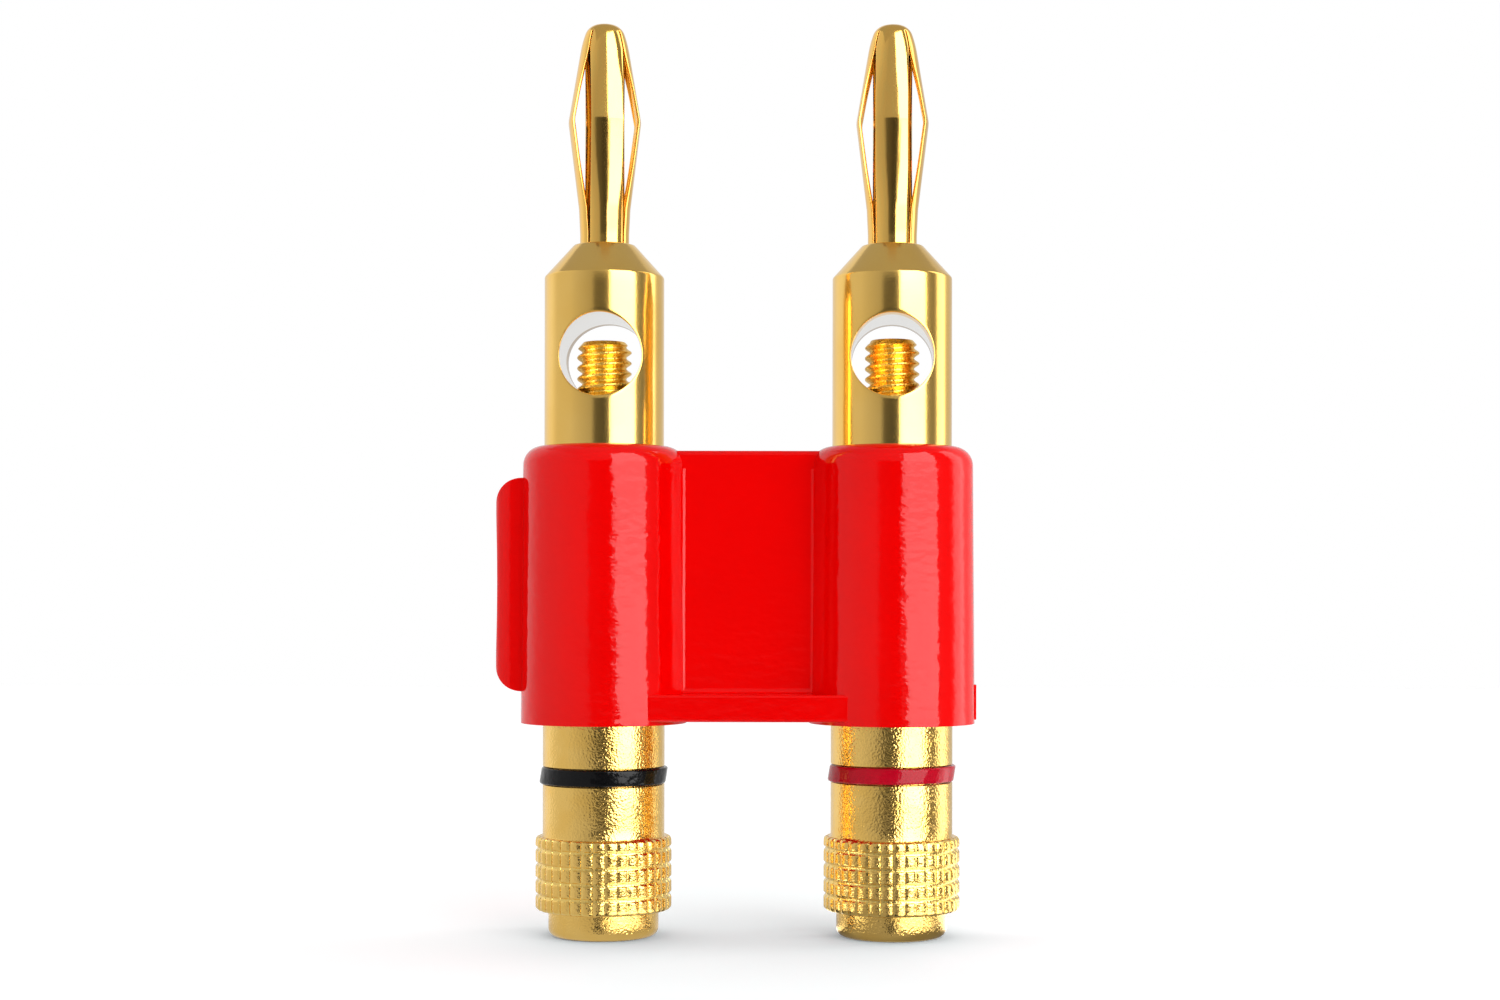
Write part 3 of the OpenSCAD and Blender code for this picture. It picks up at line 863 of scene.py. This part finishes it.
PICTURE_WIDTH = 1500
FOCAL_PIXELS = 2256
HORIZON_PIXELS = 99                    # below the middle of the picture
CAMERA_X = 0.14
CAMERA_DISTANCE = 149.4
CAMERA_HEIGHT = 22.25
CAMERA_ROLL = -0.1

SOFTBOX_DISTANCE = 380
SOFTBOX_HEIGHT = 200
SOFTBOX_FOOT = 40
SOFTBOX_START = 13
SOFTBOX_END = 64
SOFTBOX_LEVEL = 4.4
MIRRORED_LEVEL = 5.8                   # of the softbox in the metal
MIRRORED_HEIGHTS = SOFTBOX_FOOT, 47, 80, 95, 517
MIRRORED_SHARES = 1, 0.76, 0.76, 1, 1  # of its level, dimmer where the bodies mirror it
BY_FOOT_START = -8                     # azimuths of its patch on the table by a foot
BY_FOOT_END = 84
BY_FOOT_FADE = 30
STAND_DISTANCE = 254
STAND_LEVEL = 0.055
STAND_X = -104, -74, -40, 0, 50
STAND_LEVELS = 0.45, 0.12, 0.1, STAND_LEVEL, STAND_LEVEL  # at each x
STAND_TOP = 104
FLOOR_GLOW = 0.215
ROOM_HALF = 420                        # of the floor and the ceiling
CEILING_HEIGHT = 520
WALL_DISTANCE = 600
WALL_HEIGHT = 700
WALL_LEVELS = ((-180, 0.8), (-150, 0.84), (-136, 0.96), (-116, 0.98), (-100, 0.74),
               (-64, 0.7), (-56, 0.64), (-20, 0.46), (66, 0.44), (72, 0.28), (84, 0.22),
               (90, 0.5), (95, 2.4), (112, 2.8), (119, 1.0), (126, 0.65), (150, 0.65),
               (165, 0.8), (180, 0.8))


def add_camera():
    """The photo's camera, level, with its picture shifted up."""
    camera = bpy.data.objects.new("camera", bpy.data.cameras.new("camera"))
    bpy.context.scene.collection.objects.link(camera)
    camera.location = (CAMERA_X * MM, -CAMERA_DISTANCE * MM, CAMERA_HEIGHT * MM)
    camera.rotation_euler = (math.radians(90), math.radians(CAMERA_ROLL), 0)
    camera.data.lens = FOCAL_PIXELS / PICTURE_WIDTH * camera.data.sensor_width
    camera.data.shift_y = HORIZON_PIXELS / PICTURE_WIDTH
    camera.data.clip_start = 5 * MM
    bpy.context.scene.camera = camera


def stage_piece(name, points, faces, material):
    """A part of the studio, from points in mm."""
    mesh = bpy.data.meshes.new(name)
    mesh.from_pydata((points.reshape(-1, 3) * MM).tolist(), [], faces.tolist())
    mesh.materials.append(material)
    piece = bpy.data.objects.new(name, mesh)
    bpy.context.scene.collection.objects.link(piece)
    return piece


def glowing_card(name, corners, level, mirrored_only=False):
    """A card spanned by a grid of points, which the camera doesn't see. Its own light at
    each point is the level there. A card that is mirrored only lights nothing: it shows
    in metal that the camera sees, and not in metal that the floor or plastic sees."""
    rows, columns = corners.shape[:2]
    here = (np.arange(rows - 1)[:, None] * columns + np.arange(columns - 1)).ravel()
    faces = np.column_stack([here, here + 1, here + columns + 1, here + columns])
    material = bpy.data.materials.new(name)
    material.use_nodes = True
    shading = Shading(material.node_tree)
    nodes = material.node_tree.nodes
    nodes.remove(nodes["Principled BSDF"])
    glow = shading.node("ShaderNodeAttribute", {"attribute_name": "level"}, output=2)
    if mirrored_only:
        glow = glow * shading.node("ShaderNodeLightPath",
                                   output="Diffuse Depth").maths("LESS_THAN", 0.5)
    light = shading.node("ShaderNodeEmission", {}, {"Color": glow, "Strength": 1.0})
    shading.fill(nodes["Material Output"], {"Surface": light})
    card = stage_piece(name, corners, faces, material)
    levels = card.data.attributes.new("level", "FLOAT", "POINT")
    levels.data.foreach_set("value", np.broadcast_to(level, corners.shape[:2]).ravel())
    card.visible_camera = False
    card.visible_diffuse = not mirrored_only
    card.visible_shadow = not mirrored_only


def ring_card(name, distance, height, start, end, level, shares=None, middle=0.0):
    """A card bent round the object, or round the plug at middle, between two azimuths.
    distance and height are arrays of equal length that give its section, from its lower
    or inner edge on. With shares, its level is multiplied by them along its section, and
    it is mirrored only."""
    azimuth = np.linspace(start, end, 181)[None, :]
    along = np.radians(azimuth)
    distance = np.array(distance)[:, None]
    points = np.stack([middle + distance * np.sin(along), -distance * np.cos(along),
                       np.array(height)[:, None] + 0 * along], axis=-1)
    level = level(azimuth) if callable(level) else level
    if shares is not None:
        level = level * np.array(shares)[:, None]
    glowing_card(name, points, level, shares is not None)


def wall_level(azimuth):
    """Light level of the walls, in straight lines between those of WALL_LEVELS."""
    return np.interp(azimuth, *np.transpose(WALL_LEVELS))


def by_foot_level(azimuth):
    """Light level of the softbox on the table by a foot, which fades in and out."""
    from_side = np.minimum(azimuth - BY_FOOT_START, BY_FOOT_END - azimuth)
    return MIRRORED_LEVEL * soft_step(from_side / BY_FOOT_FADE)


def add_walls():
    """Walls all round, and the same walls' light lying on the table round the plug."""
    ring_card("walls", [WALL_DISTANCE] * 2, [0, WALL_HEIGHT], -180, 180, wall_level)
    ring_card("table_light", [0.1, 14, 30, WALL_DISTANCE], [0.1, 0.1, 0.4, 0.4], -180, 180,
              wall_level, [0.7, 0.9, 1, 1])


def add_softbox():
    """A tall softbox to the camera's right, and what the metal mirrors of it: the box, its
    foot, and its light on the table, at large and close to each foot."""
    mirrored = SOFTBOX_DISTANCE - 2
    ring_card("softbox", [SOFTBOX_DISTANCE] * 2, [SOFTBOX_FOOT, SOFTBOX_HEIGHT],
              SOFTBOX_START, SOFTBOX_END, SOFTBOX_LEVEL)
    ring_card("softbox_in_metal", [mirrored] * len(MIRRORED_HEIGHTS), MIRRORED_HEIGHTS,
              SOFTBOX_START, SOFTBOX_END, MIRRORED_LEVEL, MIRRORED_SHARES)
    ring_card("softbox_foot", [mirrored] * 2, [0, SOFTBOX_FOOT],
              SOFTBOX_START + 5, SOFTBOX_END, MIRRORED_LEVEL, [1, 1])
    ring_card("softbox_on_table", [36, mirrored - 2], [0.6] * 2,
              SOFTBOX_START + 9, SOFTBOX_END, MIRRORED_LEVEL, [0.8, 1])
    for side, middle in ("left", LEFT_X), ("right", RIGHT_X):
        ring_card(side + "_softbox_by_foot", [4.5, 7, 10, 14], [0.5] * 4,
                  BY_FOOT_START, BY_FOOT_END, by_foot_level, [0, 0.6, 0.6, 0], middle)


def add_stand():
    """The dark camera stand, paler at its left and upper edges, and its dark stretch of
    table, which the metal mirrors."""
    x, z = np.meshgrid(STAND_X, [0.8, 84, STAND_TOP])
    stand = np.stack([x, 0 * x - STAND_DISTANCE, z], axis=-1)
    level = np.where(z == STAND_TOP, STAND_LEVELS[0], np.interp(x, STAND_X, STAND_LEVELS))
    glowing_card("camera_stand", stand, level)
    ring_card("stand_on_table", [14, 40, 100, STAND_DISTANCE], [0.8] * 4, -18, 19,
              STAND_LEVEL, [6, 4.5, 3, 1])


def add_ceiling():
    """A white ceiling that lights the plug, and a dimmer one that the metal mirrors."""
    x, y = np.meshgrid([-ROOM_HALF, ROOM_HALF], [-ROOM_HALF, ROOM_HALF])
    above = np.stack([x, y, 0 * x + CEILING_HEIGHT], axis=-1)
    glowing_card("ceiling", above, 1.0)
    glowing_card("ceiling_in_metal", above - [0, 0, 2], 0.43, mirrored_only=True)


def seen_directly(shading):
    """1 for the camera's rays and for what is mirrored or seen through glass, else 0."""
    path = shading.tree.nodes.new("ShaderNodeLightPath")
    camera, mirrored, let_through = (Value(shading, path.outputs["Is " + kind + " Ray"])
                                     for kind in ("Camera", "Glossy", "Transmission"))
    return camera + mirrored + let_through


def add_floor():
    """A pale matt floor. Its own faint light takes it to white where nothing shades it, and
    it is less red near the plug, against the red light that the housing throws on it."""
    material, shading, shader, place = new_finish("floor", IOR=1.3, Roughness=0.9,
                                                  Emission_Strength=1.0)
    cloud = shading.noise(place, scale=0.01, detail=2)
    x, y = (shading.part(place, number) for number in range(2))
    near = x.maths("ABSOLUTE").ramp_mm(19, 6) * length_of(x, y).ramp_mm(75, 12)
    pale = shading.mix_colours(cloud, FLOOR_GREY, FLOOR_PALE)
    shading.fill(shader, {
        "Base Color": shading.mix_colours(near, pale, FLOOR_LESS_RED),
        "Emission Color": FLOOR_GLOW * seen_directly(shading)})
    corners = ROOM_HALF * np.array([[-1, -1, 0], [1, -1, 0], [1, 1, 0], [-1, 1, 0]])
    stage_piece("floor", corners, np.array([[0, 1, 2, 3]]), material)


def add_world():
    """White for the camera and for what the metal mirrors, and a little less for the light
    that falls on the object."""
    world = bpy.data.worlds.new("studio")
    bpy.context.scene.world = world
    world.use_nodes = True
    shading = Shading(world.node_tree)
    strength = 0.8 + 0.2 * seen_directly(shading)
    shading.fill(world.node_tree.nodes["Background"],
                 {"Color": colour(1, 1, 1), "Strength": strength})


# Put together.

add_camera()
gold = polished_gold()
leaf_gold = spring_gold()
head_gold = satin_gold()
housing_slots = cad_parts["housing"].data.materials
housing_slots.clear()
housing_slots.append(red_moulding())

plug_body("left", LEFT_X, BODY_TWISTS[0], gold)
plug_body("right", RIGHT_X, BODY_TWISTS[1], gold)
thumbscrew("left", LEFT_X, "left_screw", tooth_phase=4.5, crest_z=36.42, tip_z=39.2,
           lift=RING_LIFTS[0], finish=head_gold)
thumbscrew("right", RIGHT_X, "right_screw", tooth_phase=-2.3, crest_z=36.44, tip_z=39.36,
           lift=RING_LIFTS[1], finish=head_gold)
polarity_ring("left", LEFT_X, "left_carrier", lift=RING_LIFTS[0],
              unevenness=0.012, finish=soft_plastic("black_ring", RING_BLACK))
polarity_ring("right", RIGHT_X, "right_carrier", lift=RING_LIFTS[1],
              unevenness=0.03, finish=soft_plastic("red_ring", RING_RED))
contact_spring("left", LEFT_X, twist=8.5, finish=leaf_gold)
contact_spring("right", RIGHT_X, twist=-5.0, finish=leaf_gold)

add_floor()
add_walls()
add_softbox()
add_stand()
add_ceiling()
add_world()
bpy.context.scene.view_settings.view_transform = "Standard"
bpy.context.scene.cycles.caustics_reflective = False
